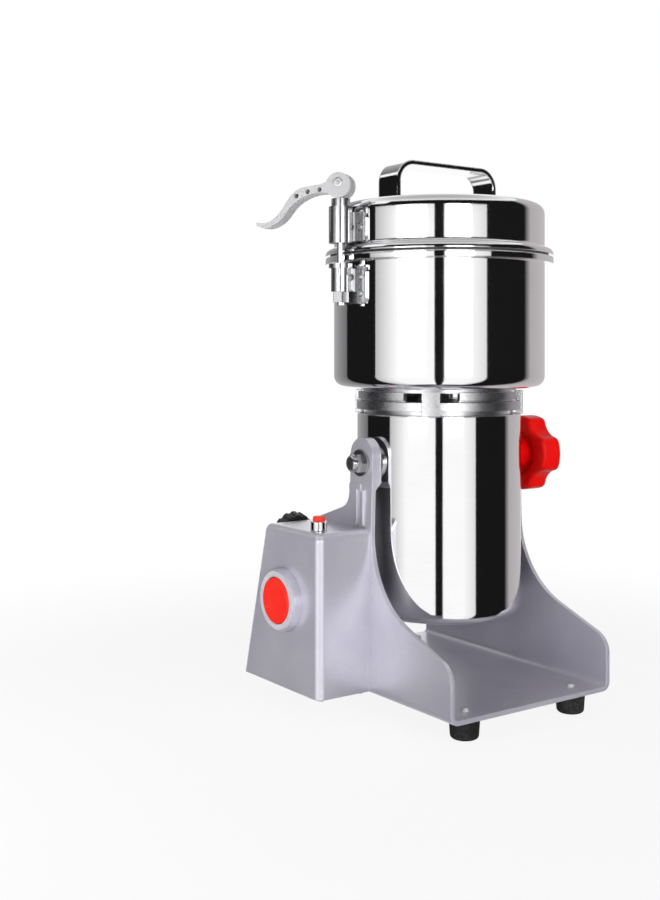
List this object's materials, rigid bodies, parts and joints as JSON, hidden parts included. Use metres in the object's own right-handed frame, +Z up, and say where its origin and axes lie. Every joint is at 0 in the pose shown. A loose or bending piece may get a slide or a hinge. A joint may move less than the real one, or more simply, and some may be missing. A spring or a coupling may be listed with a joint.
{
  "type": "electric spice grinder",
  "caption": "Upright electric spice grinder: a motor with a clamped steel cup and lid that tilts in a bell-sided frame, with a control box, start button and timer.",
  "frame": {"origin": "on the table, under the middle of the object's box; the axis of motor, cup and lid stands 14.1 mm to +X of it", "axes": "+Z up along the rotor, +X along the tilt axis towards the lock knob, -Y to the front"},
  "size_m": [0.2176, 0.19, 0.373],
  "materials": {
    "painted_frame": "silver-grey metallic paint on a casting",
    "polished_steel": "mirror-polished stainless sheet",
    "chrome": "bright plated steel",
    "steel": "plain turned steel",
    "cast_alloy": "machined aluminium casting",
    "laminations": "oiled electrical sheet",
    "copper": "varnished copper",
    "black_plastic": "moulded",
    "carbon": "pressed graphite",
    "red_plastic": "glossy moulding",
    "rubber": "moulded rubber",
    "silicone": "soft sealing ring"
  },
  "bodies": {
    "base": {"base_frame": "painted_frame", "box_cover": "painted_frame", "cover_screws": "steel", "rubber_feet": "rubber", "foot_screws": "steel", "button_bezel": "cast_alloy", "bezel_nut": "black_plastic", "start_switch": "black_plastic", "timer_unit": "steel", "timer_nut": "steel", "breaker_unit": "black_plastic", "breaker_collar": "chrome", "cable_gland": "black_plastic", "gland_nut": "black_plastic"},
    "rotor": {"rotor_shaft": "steel", "armature_core": "laminations", "armature_windings": "copper", "commutator": "copper", "cooling_fan": "black_plastic", "lower_blade": "steel", "blade_spacer": "steel", "upper_blade": "steel", "blade_nut": "steel"},
    "lid": {"lid_shell": "polished_steel", "lid_gasket": "silicone", "lid_handle": "polished_steel", "handle_rivets": "steel", "lid_bracket": "chrome", "lid_bracket_rivets": "steel"},
    "lever": {"cam_lever": "chrome"},
    "knob": {"lock_knob": "red_plastic"},
    "timer_dial": {"timer_knob": "black_plastic"},
    "start_push": {"start_button": "red_plastic"},
    "reset_push": {"reset_button": "red_plastic"},
    "tilting_body": {"motor_shell": "polished_steel", "grinding_cup": "polished_steel", "cup_bracket": "chrome", "clamp_rod": "chrome", "clamp_nut": "chrome", "thrust_collar": "chrome", "cam_pin": "chrome", "rim_catch": "chrome", "pivot_nut": "chrome", "outer_washers": "steel", "pivot_studs": "steel", "trunnion_blocks": "steel", "shaft_bearings": "steel", "cup_screws": "steel", "cup_bracket_rivets": "steel", "catch_rivets": "steel", "motor_top_bracket": "cast_alloy", "cup_seat_ring": "cast_alloy", "lower_bearing_bracket": "cast_alloy", "stator_core": "laminations", "field_coils": "copper", "brush_holders": "black_plastic", "friction_washers": "black_plastic", "carbon_brushes": "carbon", "shaft_seal": "rubber"}
  },
  "joints": [
    {"name": "body_tilt", "type": "hinge", "parent": "base", "child": "tilting_body", "pos_m": [0.01413, 0, 0.167], "axis": [1, 0, 0], "range_deg": [-90, 90]},
    {"name": "knob_turn", "type": "hinge", "parent": "tilting_body", "child": "knob", "pos_m": [0.10113, 0, 0.167], "axis": [1, 0, 0], "range_deg": [0, 360]},
    {"name": "lever_lift", "type": "hinge", "parent": "tilting_body", "child": "lever", "pos_m": [-0.07037, 0, 0.3539], "axis": [0.8192, 0.5736, 0], "range_deg": [0, 100]},
    {"name": "lid_swing", "type": "hinge", "parent": "tilting_body", "child": "lid", "pos_m": [-0.07037, 0, 0.325], "axis": [0, 0, -1], "range_deg": [0, 135]},
    {"name": "rotor_spin", "type": "hinge", "parent": "tilting_body", "child": "rotor", "pos_m": [0.01413, 0, 0.127], "axis": [0, 0, 1], "continuous": true},
    {"name": "timer_turn", "type": "hinge", "parent": "base", "child": "timer_dial", "pos_m": [-0.06807, 0.05843, 0.1124], "axis": [0, -0.9681, -0.2504], "range_deg": [0, 300]},
    {"name": "start_press", "type": "slide", "parent": "base", "child": "start_push", "axis": [0.9998, 0.0175, 0], "range_m": [0, 0.004], "stiffness_N_per_m": 600, "springref_m": -0.002},
    {"name": "reset_press", "type": "slide", "parent": "base", "child": "reset_push", "axis": [0, 0, -1], "range_m": [0, 0.002], "stiffness_N_per_m": 800, "springref_m": -0.0015}
  ]
}
